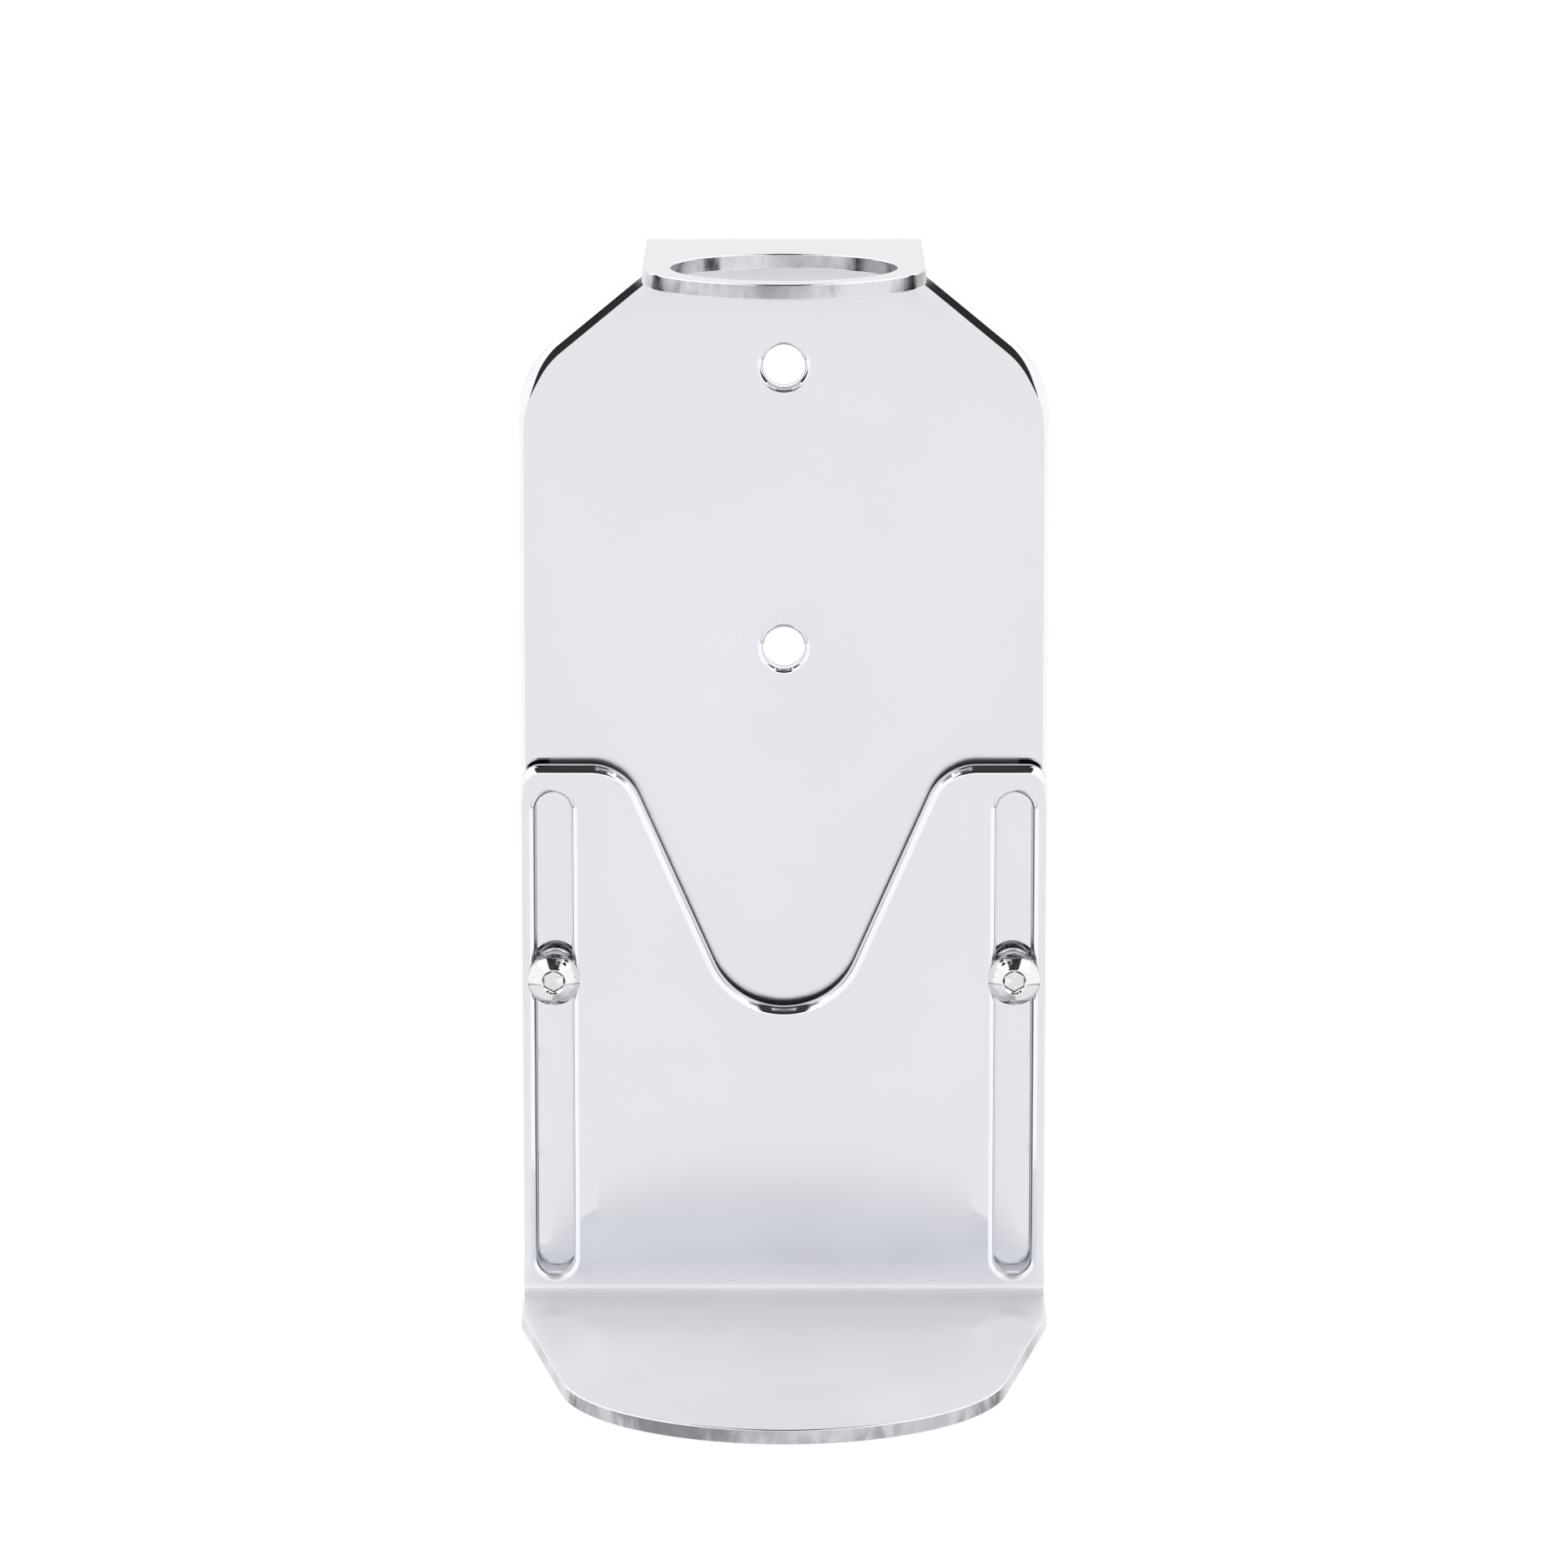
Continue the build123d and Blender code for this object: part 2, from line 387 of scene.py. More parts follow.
def edge_profile(front_r):
    """Rings across a cut edge from the rear face to the front face, for each point.

    Each ring is (inset from the outline, w, outward part of the normal, w part)."""
    rings = []
    for k in range(ARRIS_STEPS + 1):
        a = k / ARRIS_STEPS * math.pi / 2
        inset = ARRIS * (1 - math.sin(a)) * np.ones_like(front_r)
        rings.append((inset, ARRIS * (1 - math.cos(a)), math.sin(a), -math.cos(a)))
    for k in range(ROUND_STEPS + 1):
        a = (1 - k / ROUND_STEPS) * math.pi / 2
        inset, w = front_r * (1 - math.sin(a)), SHEET - front_r * (1 - math.cos(a))
        rings.append((inset, w, math.sin(a), math.cos(a)))
    return rings


def inside(points, loops):
    """Which points lie in the sheet: inside the first outline and outside the others."""
    odd = np.zeros(len(points), bool)
    for loop in loops:
        a, b = loop, np.roll(loop, -1, 0)
        for (ax, ay), (bx, by) in zip(a, b):
            if ay == by:
                continue
            crosses = (points[:, 1] < ay) != (points[:, 1] < by)
            at = ax + (points[:, 1] - ay) / (by - ay) * (bx - ax)
            odd ^= crosses & (points[:, 0] < at)
    return odd


def nearest_gap(points, loops):
    """Each point's distance to the nearest point of the outlines."""
    marks = np.concatenate(loops)
    return np.array([np.sqrt(((marks - p) ** 2).sum(1).min()) for p in points])


def face_grid(loops, fold):
    """Points over a flat face, clear of its outlines and of the bend."""
    low, high = loops[0].min(0), loops[0].max(0)
    half_columns = int(high[0] / FACE_STEP)
    xs = FACE_STEP * np.arange(-half_columns, half_columns + 1)
    ss = np.concatenate((
        np.arange(-FACE_STEP, low[1], -FACE_STEP),
        np.arange(fold.length + FACE_STEP, high[1], FACE_STEP),
    ))
    grid = np.array([(x, s) for s in ss for x in xs])
    grid = grid[inside(grid, loops)]
    return grid[nearest_gap(grid, loops) > FACE_CLEAR]


def bend_rows(outer, fold):
    """Rows of points across the bend, from one side of the sheet to the other."""
    rows = []
    for station in fold.stations:
        ends = [i for i, p in enumerate(outer) if abs(p[1] - station) < WELD]
        left, right = sorted(ends, key=lambda i: outer[i][0])
        width = outer[right][0] - outer[left][0]
        count = max(2, round(width / FACE_STEP))
        xs = outer[left][0] + width * np.arange(1, count) / count
        rows.append((left, [(x, station) for x in xs], right))
    return rows


def face_mesh(loops, fold):
    """Points and triangles that fill a face of the blank."""
    points, edges = [], []
    for loop in loops:
        first = len(points)
        points.extend(map(tuple, loop))
        count = len(loop)
        edges.extend((first + i, first + (i + 1) % count) for i in range(count))
    for left, between, right in bend_rows(loops[0], fold):
        chain = [left, *range(len(points), len(points) + len(between)), right]
        points.extend(between)
        edges.extend(zip(chain, chain[1:]))
    points.extend(map(tuple, face_grid(loops, fold)))
    found = delaunay_2d_cdt(points, edges, [], 1, WELD / 10, False)
    spots, faces = np.array([tuple(p) for p in found[0]]), found[2]
    middles = np.array([spots[list(face)].mean(0) for face in faces])
    keep = inside(middles, loops)
    return spots, [face for face, kept in zip(faces, keep) if kept]


class SheetMesh:
    """Collects the blank's points, normals and faces, then folds them into a mesh.

    cut holds a 1 for each face of the cut wall and a 0 for each polished face."""

    def __init__(self, fold):
        self.fold = fold
        self.points = []
        self.normals = []
        self.along = []
        self.faces = []
        self.cut = []

    def add_face(self, loops, w, facing):
        """A flat face at w; facing is 1 for the front and -1 for the rear."""
        spots, faces = face_mesh(loops, self.fold)
        first = len(self.points)
        depths = w * np.ones(len(spots))
        self.points.extend(np.column_stack((spots, depths)))
        self.normals.extend([(0, 0, facing)] * len(spots))
        self.along.extend([(0.0, 0.0)] * len(spots))
        for face in faces:
            self.faces.append([first + i for i in face][::facing])
            self.cut.append(0)

    def add_edge(self, points, normals, rings):
        """The wall round one outline, from its rear arris to its front rounding."""
        first, count = len(self.points), len(points)
        steps = np.linalg.norm(np.roll(points, -1, 0) - points, axis=1)
        run = np.concatenate(((0,), np.cumsum(steps)[:-1]))
        for inset, w, outward, across in rings:
            ring = points - normals * np.reshape(inset, (-1, 1))
            depths = w * np.ones(count)
            self.points.extend(np.column_stack((ring, depths)))
            self.normals.extend(np.column_stack((normals * outward, across * np.ones(count))))
            self.along.extend(np.column_stack((run, depths)))
        for k in range(len(rings) - 1):
            for i in range(count):
                j = (i + 1) % count
                low, high = first + k * count, first + (k + 1) * count
                self.faces.append([low + i, low + j, high + j, high + i])
                self.cut.append(int(k == ARRIS_STEPS))

    def build(self, name, outlines):
        """The folded mesh object, with exact normals and attributes for the materials."""
        blank = np.array(self.points)
        spots, normals = self.fold.place(blank, np.array(self.normals, float))
        mesh = bpy.data.meshes.new(name)
        faces = self.faces if self.fold.up > 0 else [f[::-1] for f in self.faces]
        mesh.from_pydata(spots.tolist(), [], faces)
        gaps = nearest_gap(blank[:, :2], outlines)
        store(mesh, "edge_near", np.exp(-gaps / EDGE_FADE))
        past_fold = np.maximum(np.maximum(-blank[:, 1], blank[:, 1] - self.fold.length), 0)
        store(mesh, "fold_near", np.exp(-((past_fold / FOLD_FADE) ** 2)))
        store(mesh, "level", np.clip(blank[:, 1] / self.fold.length, 0, 1))
        store(mesh, "edge_run", np.array(self.along)[:, 0])
        store(mesh, "edge_depth", np.array(self.along)[:, 1])
        store_vectors(mesh, "sheet_normal", normals)
        mesh.polygons.foreach_set("material_index", self.cut)
        weld(mesh)
        return finished(name, mesh)


def store(mesh, name, values):
    """A number on each vertex, for the materials."""
    mesh.attributes.new(name, "FLOAT", "POINT").data.foreach_set("value", np.ravel(values))


def store_vectors(mesh, name, values):
    """A vector on each vertex."""
    mesh.attributes.new(name, "FLOAT_VECTOR", "POINT").data.foreach_set("vector", np.ravel(values))


def weld(mesh):
    """Joins the faces to the walls round them and pairs triangles into quads."""
    bm = bmesh.new()
    bm.from_mesh(mesh)
    bmesh.ops.remove_doubles(bm, verts=bm.verts, dist=5 * WELD)
    bmesh.ops.join_triangles(
        bm,
        faces=[f for f in bm.faces if len(f.verts) == 3],
        angle_face_threshold=PAIR_FLATNESS,
        angle_shape_threshold=PAIR_SKEW,
    )
    bm.to_mesh(mesh)
    bm.free()


def finished(name, mesh):
    """An object with smooth faces that shade with the exact normals stored on the mesh."""
    mesh.polygons.foreach_set("use_smooth", [True] * len(mesh.polygons))
    normals = np.zeros(len(mesh.vertices) * 3, np.float32)
    mesh.attributes["sheet_normal"].data.foreach_get("vector", normals)
    mesh.attributes.remove(mesh.attributes["sheet_normal"])
    mesh.normals_split_custom_set_from_vertices(normals.reshape(-1, 3))
    obj = bpy.data.objects.new(name, mesh)
    bpy.context.scene.collection.objects.link(obj)
    return obj


def folded_sheet(name, fold, outlines, front_radii):
    """A folded sheet from its outlines and the rounding radius along each of them."""
    sheet = SheetMesh(fold)
    rings = [edge_profile(radius) for radius in front_radii]
    for (points, normals), profile in zip(outlines, rings):
        sheet.add_edge(points, normals, profile)
    loops = {}
    for facing, at in ((-1, 0), (1, -1)):
        loops[facing] = [p - n * np.reshape(r[at][0], (-1, 1)) for (p, n), r in zip(outlines, rings)]
    sheet.add_face(loops[-1], 0.0, -1)
    sheet.add_face(loops[1], SHEET, 1)
    return sheet.build(name, [points for points, _ in outlines])


def eased(s, start, end, first, last):
    """A radius that changes smoothly along s; first and last are numbers or arrays."""
    share = np.clip((s - start) / (end - start), 0, 1)
    return first + (last - first) * share * share * (3 - 2 * share)


def same(outline, radius):
    """One radius for every point of an outline."""
    return radius * np.ones(len(outline[0]))


def plate_round(points, fold):
    """The back plate's rounding: fuller on the shoulders, and only an arris past the fold."""
    s, shoulder = points[:, 1], fold.s_of_z(SHOULDER_CORNER_Z)
    radius = eased(s, shoulder - SHOULDER_RUN_IN, shoulder, PLATE_SIDE_ROUND, SHOULDER_ROUND)
    return eased(s, -PLATE_FOLD_RUN_OUT, PLATE_FOLD_RUN_OUT, radius, ARRIS)


def tray_round(points, top):
    """The tray's rounding: slighter down its sides, and only an arris past the fold."""
    s = points[:, 1]
    at_side = np.abs(points[:, 0]) > tray_high.x - TRAY_CORNER_R
    side = eased(s, top, top + TRAY_TOP_RUN_OUT, TRAY_TOP_ROUND, TRAY_SIDE_ROUND)
    radius = np.where(at_side, side, TRAY_TOP_ROUND)
    return eased(s, -TRAY_FOLD_RUN_OUT, TRAY_FOLD_RUN_OUT, radius, ARRIS)


def back_plate_sheet():
    """The wall plate and its ring tongue."""
    fold_z = plate_high.z - SHEET - TONGUE_BEND_R
    fold = Fold(fold_z, 1, plate_high.y, TONGUE_BEND_R)
    ring = mounts["ring_bore"]
    half = [
        (plate_high.x, fold.s_of_z(plate_low.z), PLATE_CORNER_R),
        (plate_high.x, fold.s_of_z(SHOULDER_CORNER_Z), SHOULDER_R),
        (TONGUE_HALF, fold.s_of_z(NECK_Z), NECK_CORNER_R),
        (TONGUE_HALF, fold.s_of_y(plate_low.y), TONGUE_HALF),
    ]
    outlines = [joined(rounded(mirrored(half)), fold.stations)]
    outlines.append(hole(0.0, fold.s_of_y(ring["pos_m"][1]), ring["dims"]["r_mm"] * MM))
    radii = [plate_round(outlines[0][0], fold), same(outlines[1], ARRIS)]
    screws = mounts["wall_screws"]["dims"]
    for side in SIDES.values():
        z = side * screws["spacing_y_mm"] * MM / 2
        outlines.append(hole(0.0, fold.s_of_z(z), screws["hole_r_mm"] * MM))
        radii.append(same(outlines[-1], FRONT_ROUND))
    for side in SIDES.values():
        outlines.append(hole(side * SCREW_X, fold.s_of_z(SCREW_Z), NUT_HOLE_R))
        radii.append(same(outlines[-1], ARRIS))
    return folded_sheet("back_plate_sheet", fold, outlines, radii)


def shelf_front(fold):
    """Where the shelf's taper starts and ends, and its right corner and front as arcs."""
    centre = np.array((0.0, fold.s_of_y(tray_low.y + SHELF_FRONT_R)))
    meet_s = fold.s_of_y(SHELF_CORNER_Y)
    meet = np.array((math.sqrt(SHELF_FRONT_R**2 - (meet_s - centre[1]) ** 2), meet_s))
    taper = np.array((tray_high.x, fold.s_of_y(SHELF_TAPER_START_Y)))
    along = unit(meet - taper)
    normal = right_of(along)
    offset = meet - SHELF_CORNER_R * normal - centre
    back = offset @ along
    reach = math.sqrt(back**2 - offset @ offset + (SHELF_FRONT_R - SHELF_CORNER_R) ** 2)
    corner_centre = centre + offset + (reach - back) * along
    front_normal = unit(corner_centre - centre)
    turn = math.atan2(normal[0] * front_normal[1] - normal[1] * front_normal[0], normal @ front_normal)
    sweep = 2 * math.atan2(front_normal[0], front_normal[1])
    return taper, meet, [
        arc(corner_centre, SHELF_CORNER_R, normal, turn),
        arc(centre, SHELF_FRONT_R, front_normal, sweep),
    ]


def mirror_arc(points, normals):
    """The same arc on the left, still anticlockwise."""
    flip = np.array((-1, 1))
    return points[::-1] * flip, normals[::-1] * flip


def tray_sheet():
    """The front plate with its notch and slots, and the shelf."""
    fold_z = tray_low.z + SHEET + TRAY_BEND_R
    fold = Fold(fold_z, -1, tray_high.y, TRAY_BEND_R)
    top = fold.s_of_z(tray_high.z)
    notch_s = fold.s_of_z(NOTCH_BOTTOM_Z + NOTCH_BOTTOM_R - NOTCH_BOTTOM_R / math.sin(NOTCH_SLANT))
    notch_x = (notch_s - top) * math.tan(NOTCH_SLANT)
    taper, meet, (corner_arc, front_arc) = shelf_front(fold)
    upper = np.array((tray_high.x, top))
    notch_top, notch_bottom = np.array((notch_x, top)), np.array((0.0, notch_s))
    right = [
        corner(notch_bottom, notch_top, upper, NOTCH_CORNER_R),
        corner(notch_top, upper, taper, TRAY_CORNER_R),
        corner(upper, taper, meet, SHELF_SIDE_R),
        corner_arc,
    ]
    left = [mirror_arc(*part) for part in reversed(right)]
    bottom = corner(notch_top * (-1, 1), notch_bottom, notch_top, NOTCH_BOTTOM_R)
    outlines = [joined([*right, front_arc, *left, bottom], fold.stations)]
    radii = [tray_round(outlines[0][0], top)]
    slot_top = fold.s_of_z(SLOT_TOP_Z)
    for side in SIDES.values():
        outlines.append(slot(side * SCREW_X, slot_top, slot_top + SLOT_LENGTH, SLOT_HALF))
        radii.append(same(outlines[-1], FRONT_ROUND))
    return folded_sheet("sliding_tray_sheet", fold, outlines, radii)


# ---------------------------------------------------------------- turned pieces

class Lathe:
    """Collects rings round a piece's Y axis and joins them into a closed surface."""

    def __init__(self, x, z):
        self.x = x
        self.z = z
        self.angles = np.arange(TURN_STEPS) / TURN_STEPS * 2 * math.pi
        self.rings = []

    def ring(self, radius, y):
        """One ring; radius and y are numbers or one value for each angle."""
        r, depth = radius * np.ones(TURN_STEPS), y * np.ones(TURN_STEPS)
        x, z = self.x + r * np.cos(self.angles), self.z + r * np.sin(self.angles)
        self.rings.append(np.stack((x, depth, z), 1))

    def build(self, name, looped):
        """The mesh object: a ring-shaped piece if looped, otherwise closed at both ends."""
        bm = bmesh.new()
        rows = [[bm.verts.new(p) for p in ring] for ring in self.rings]
        pairs = list(zip(rows, rows[1:]))
        if looped:
            pairs.append((rows[-1], rows[0]))
        for a, b in pairs:
            for i in range(TURN_STEPS):
                j = (i + 1) % TURN_STEPS
                bm.faces.new((a[i], a[j], b[j], b[i]))
        if not looped:
            for row in (rows[0], rows[-1]):
                middle = bm.verts.new(np.mean([v.co for v in row], axis=0))
                for i in range(TURN_STEPS):
                    bm.faces.new((row[i], row[(i + 1) % TURN_STEPS], middle))
        bmesh.ops.recalc_face_normals(bm, faces=bm.faces)
        mesh = bpy.data.meshes.new(name)
        bm.to_mesh(mesh)
        bm.free()
        mesh.polygons.foreach_set("use_smooth", [True] * len(mesh.polygons))
        mesh.set_sharp_from_angle(angle=SHARP_ANGLE)
        obj = bpy.data.objects.new(name, mesh)
        bpy.context.scene.collection.objects.link(obj)
        return obj


def add_round(lathe, centre_r, centre_y, radius, first, last):
    """A quarter-round or part of one on the profile; angles are from +radius towards +Y."""
    for k in range(EASE_STEPS + 1):
        a = first + (last - first) * k / EASE_STEPS
        lathe.ring(centre_r + radius * math.cos(a), centre_y + radius * math.sin(a))


def hexagon(lathe):
    """The socket's wall as a radius for each angle."""
    flat = math.pi / 3
    return SOCKET_HALF / np.cos((lathe.angles + flat / 2) % flat - flat / 2)


def add_thread(lathe, start_y, end_y, root, crest):
    """A helical thread between two depths that fades out at both ends."""
    count = round(abs(end_y - start_y) / THREAD_PITCH * THREAD_STEPS)
    for k in range(count + 1):
        share = k / count
        y = start_y + (end_y - start_y) * share
        phase = (y / THREAD_PITCH + lathe.angles / (2 * math.pi)) % 1
        ramp = (1 - np.abs(2 * phase - 1) - THREAD_FLAT) / (1 - 2 * THREAD_FLAT)
        shape = np.clip(ramp, 0, 1)
        fade = min(1.0, share * count / THREAD_STEPS, (1 - share) * count / THREAD_STEPS)
        lathe.ring(root + (crest - root) * shape * fade, y)


def clamp_screw(name, side):
    """A button-head screw: hexagon socket, domed head, rolled thread, chamfered tip."""
    lathe = Lathe(side * SCREW_X, SCREW_Z)
    top, tip = screw_low.y, screw_high.y
    seat = tray_high.y - SHEET - CLAMP_CLEARANCE
    wall = hexagon(lathe)
    floor_y = top + SOCKET_DEPTH
    lathe.ring(DRILL_TIP_R, floor_y + DRILL_DEPTH)
    lathe.ring(DRILL_R, floor_y)
    lathe.ring(wall - ARRIS / 2, floor_y)
    lathe.ring(wall, floor_y - ARRIS / 2)
    lathe.ring(wall, top + SOCKET_MOUTH_R - wall)
    lathe.ring(SOCKET_MOUTH_R, top)
    height, rim = seat - top, HEAD_RIM
    centre = (HEAD_TOP_R**2 + height**2 - HEAD_R**2 - rim**2) / (2 * (height - rim))
    radius = math.hypot(HEAD_R, rim - centre)
    crown = math.atan2(height - centre, HEAD_TOP_R)
    lathe.ring(HEAD_TOP_R - CROWN_EASE, top)
    for k in range(1, DOME_STEPS + 1):
        a = crown + (math.atan2(rim - centre, HEAD_R) - crown) * k / DOME_STEPS
        lathe.ring(radius * math.cos(a), seat - centre - radius * math.sin(a))
    add_round(lathe, HEAD_R - EASE_R, seat - EASE_R, EASE_R, 0.0, math.pi / 2)
    lathe.ring(SCREW_R + 2 * EASE_R, seat)
    lathe.ring(SCREW_R, seat + 2 * EASE_R)
    add_thread(lathe, seat + THREAD_START, tip - TIP_CHAMFER, SCREW_R, SCREW_R - THREAD_DEPTH)
    lathe.ring(SCREW_R - TIP_CHAMFER, tip - ARRIS / 3)
    lathe.ring(TIP_FACE_R, tip)
    return lathe.build(name, looped=False)


def clinch_nut(name, side):
    """A press-in nut: a spigot in the back plate, a collar in front, a threaded bore."""
    lathe = Lathe(side * SCREW_X, SCREW_Z)
    front, rear, step = nut_low.y, nut_high.y, plate_high.y - SHEET
    lathe.ring(BORE_R + BORE_CHAMFER, rear)
    lathe.ring(NUT_HOLE_R - ARRIS, rear)
    lathe.ring(NUT_HOLE_R, rear - ARRIS)
    lathe.ring(NUT_HOLE_R, step)
    add_round(lathe, COLLAR_R - EASE_R, step - EASE_R, EASE_R, math.pi / 2, 0.0)
    lathe.ring(COLLAR_R, front + COLLAR_CHAMFER)
    lathe.ring(COLLAR_R - COLLAR_CHAMFER, front)
    lathe.ring(BORE_R + BORE_CHAMFER, front)
    add_thread(lathe, front + BORE_CHAMFER, rear - BORE_CHAMFER, BORE_R, BORE_R + THREAD_DEPTH / 2)
    return lathe.build(name, looped=True)


# ---------------------------------------------------------------- materials

class Nodes:
    """Adds nodes to a node tree one by one."""

    def __init__(self, tree):
        self.tree = tree

    def add(self, kind, **settings):
        """A node with its settings."""
        node = self.tree.nodes.new(kind)
        for key, value in settings.items():
            setattr(node, key, value)
        return node

    def feed(self, socket, source):
        """Sets a socket from a number, a vector or another node's output."""
        if isinstance(source, bpy.types.NodeSocket):
            self.tree.links.new(source, socket)
        else:
            socket.default_value = source

    def math(self, operation, a, b):
        """The result of a math node."""
        node = self.add("ShaderNodeMath", operation=operation)
        self.feed(node.inputs[0], a)
        self.feed(node.inputs[1], b)
        return node.outputs[0]

    def span(self, value, low, high, to_low, to_high):
        """A value mapped smoothly from one span to another."""
        node = self.add("ShaderNodeMapRange", interpolation_type="SMOOTHSTEP")
        for socket, number in zip(node.inputs[1:5], (low, high, to_low, to_high)):
            self.feed(socket, number)
        self.feed(node.inputs["Value"], value)
        return node.outputs[0]

    def share(self, value, span):
        """How far a value is through a span, from 0 to 1."""
        return self.span(value, *span, 0.0, 1.0)

    def mix(self, amount, first, second):
        """A number between two, by an amount from 0 to 1."""
        node = self.add("ShaderNodeMix", data_type="FLOAT")
        for socket, source in (("Factor", amount), ("A", first), ("B", second)):
            self.feed(node.inputs[socket], source)
        return node.outputs["Result"]


class Shader(Nodes):
    """A material whose Principled shader is fed by nodes."""

    def __init__(self, name, colour):
        self.material = bpy.data.materials.new(name)
        self.material.use_nodes = True
        super().__init__(self.material.node_tree)
        self.base = self.tree.nodes["Principled BSDF"]
        self.base.inputs["Base Color"].default_value = (*colour, 1)
        self.base.inputs["Metallic"].default_value = 1.0
        self.place = self.add("ShaderNodeTexCoord").outputs["Object"]

    def noise(self, scale, stretch=(1, 1, 1), detail=2.0, source=None):
        """Noise from 0 to 1 at so many features a metre, stretched along the axes."""
        mapping = self.add("ShaderNodeMapping")
        self.feed(mapping.inputs["Vector"], source or self.place)
        mapping.inputs["Scale"].default_value = stretch
        node = self.add("ShaderNodeTexNoise")
        self.feed(node.inputs["Vector"], mapping.outputs[0])
        node.inputs["Scale"].default_value = scale
        node.inputs["Detail"].default_value = detail
        return node.outputs["Fac"]

    def attribute(self, name):
        """A number stored on the mesh."""
        return self.add("ShaderNodeAttribute", attribute_name=name).outputs["Fac"]

    def bump(self, height, distance, before=None):
        """A bump of a real height in metres, added to the bumps before it."""
        node = self.add("ShaderNodeBump")
        node.inputs["Strength"].default_value = 1.0
        self.feed(node.inputs["Distance"], distance)
        self.feed(node.inputs["Height"], height)
        if before is not None:
            self.feed(node.inputs["Normal"], before)
        return node.outputs[0]

    def tinted(self, amount, first, second):
        """A colour between two, by an amount from 0 to 1."""
        node = self.add("ShaderNodeMix", data_type="RGBA")
        self.feed(node.inputs["Factor"], amount)
        node.inputs["A"].default_value = (*first, 1)
        node.inputs["B"].default_value = (*second, 1)
        return node.outputs["Result"]

    def finish(self, colour, roughness, normal):
        """Feeds the Principled shader and returns the material."""
        self.feed(self.base.inputs["Base Color"], colour)
        self.feed(self.base.inputs["Roughness"], roughness)
        self.feed(self.base.inputs["Normal"], normal)
        return self.material


def shaded(numbers, share):
    """A colour made darker or lighter, or other numbers scaled in the same way."""
    return tuple(number * share for number in numbers)


def mirror_steel(name, colour, level_rough, level_metal):
    """Mirror-polished sheet: polishing haze, soft waves, crisp roundings and a satin fold.

    level_rough and level_metal belong to the part past the fold."""
    shader = Shader(name, colour)
    haze = shader.share(shader.noise(HAZE_SCALE, detail=3.0), HAZE_SPAN)
    smears = shader.share(shader.noise(SMEAR_SCALE, (1, 1, 0.35), 4.0), SMEAR_SPAN)
    flat = shader.mix(haze, *shaded(HAZE_ROUGH, FLAT_ROUGH))
    flat = shader.math("ADD", flat, shader.math("MULTIPLY", smears, SMEAR_ROUGH))
    level, fold = shader.attribute("level"), shader.attribute("fold_near")
    start = shader.mix(level, CRISP_START, LEVEL_CRISP_START)
    full = shader.mix(level, CRISP_FULL, LEVEL_CRISP_FULL)
    crisp = shader.share(shader.attribute("edge_near"), (start, full))
    flat = shader.math("MULTIPLY", flat, shader.mix(level, 1.0, level_rough / FLAT_ROUGH))
    rough = shader.mix(fold, shader.mix(crisp, flat, EDGE_ROUGH), FOLD_ROUGH)
    metal = shader.mix(crisp, shader.mix(level, 1.0, level_metal), 1.0)
    tint = shader.tinted(haze, *(shaded(colour, share) for share in HAZE_TINT))
    shader.feed(shader.base.inputs["Metallic"], shader.mix(fold, metal, FOLD_METAL))
    waves = shader.bump(shader.noise(WAVE_SCALE, (1, 1, 0.7), 1.0), WAVE_HEIGHT)
    hairs = shader.bump(shader.noise(HAIR_SCALE, (1, 1, 0.05)), HAIR_HEIGHT, waves)
    return shader.finish(tint, rough, hairs)


def cut_steel(name, colour):
    """A ground and polished cut edge, with fine lines across the sheet's thickness; its colour is
    darkened in random zones as painted patchy reflection.
    """
    shader = Shader(name, colour)
    place = shader.add("ShaderNodeCombineXYZ")
    shader.feed(place.inputs[0], shader.attribute("edge_run"))
    shader.feed(place.inputs[1], shader.attribute("edge_depth"))
    on_edge = place.outputs[0]
    lines = shader.noise(LINE_SCALE, (1, 0.12, 1), 3.0, on_edge)
    blotches = shader.noise(BLOTCH_SCALE, (1, 0.5, 1), 3.0, on_edge)
    painted_sheen_zones = shader.noise(PAINTED_SHEEN_SCALE, source=on_edge)
    # Painted reflection: the zones and a share of the blotches darken the edge's colour in patches
    # that stand in for patchy reflections; the blotches also drive real roughness and bumps.
    shine = shader.math("ADD", shader.math("MULTIPLY", blotches, BLOTCH_SHARE), painted_sheen_zones)
    rough = shader.span(blotches, *BLOTCH_SPAN, *CUT_ROUGH)
    tint = shader.tinted(shader.share(shine, PAINTED_SHEEN_SPAN), shaded(colour, CUT_PAINTED_SHADE), colour)
    rows = shader.bump(lines, LINE_HEIGHT)
    return shader.finish(tint, rough, shader.bump(blotches, BLOTCH_HEIGHT, rows))


def turned_steel(name, colour, roughness, groove_height):
    """Machined steel: fine rings round the axis, specks and slight handling marks."""
    shader = Shader(name, colour)
    marks = shader.noise(MARK_SCALE, detail=4.0)
    grooves = shader.noise(GROOVE_SCALE, (1, 3, 1))
    rough = shader.span(marks, *MARK_SPAN, *shaded(MARK_ROUGH, roughness))
    tint = shader.tinted(shader.share(marks, MARK_TINT_SPAN), shaded(colour, MARK_TINT), colour)
    return shader.finish(tint, rough, shader.bump(grooves, groove_height))


def floor_paper(name):
    """Matt white studio paper with a faint tooth."""
    shader = Shader(name, FLOOR_COLOUR)
    shader.base.inputs["Metallic"].default_value = 0.0
    shader.base.inputs["Specular IOR Level"].default_value = PAPER_SHEEN
    clouds = shader.noise(PAPER_CLOUD_SCALE)
    tint = shader.tinted(clouds, shaded(FLOOR_COLOUR, PAPER_CLOUD), FLOOR_COLOUR)
    tooth = shader.bump(shader.noise(TOOTH_SCALE, detail=3.0), TOOTH_HEIGHT)
    return shader.finish(tint, PAPER_ROUGH, tooth)


# ---------------------------------------------------------------- studio

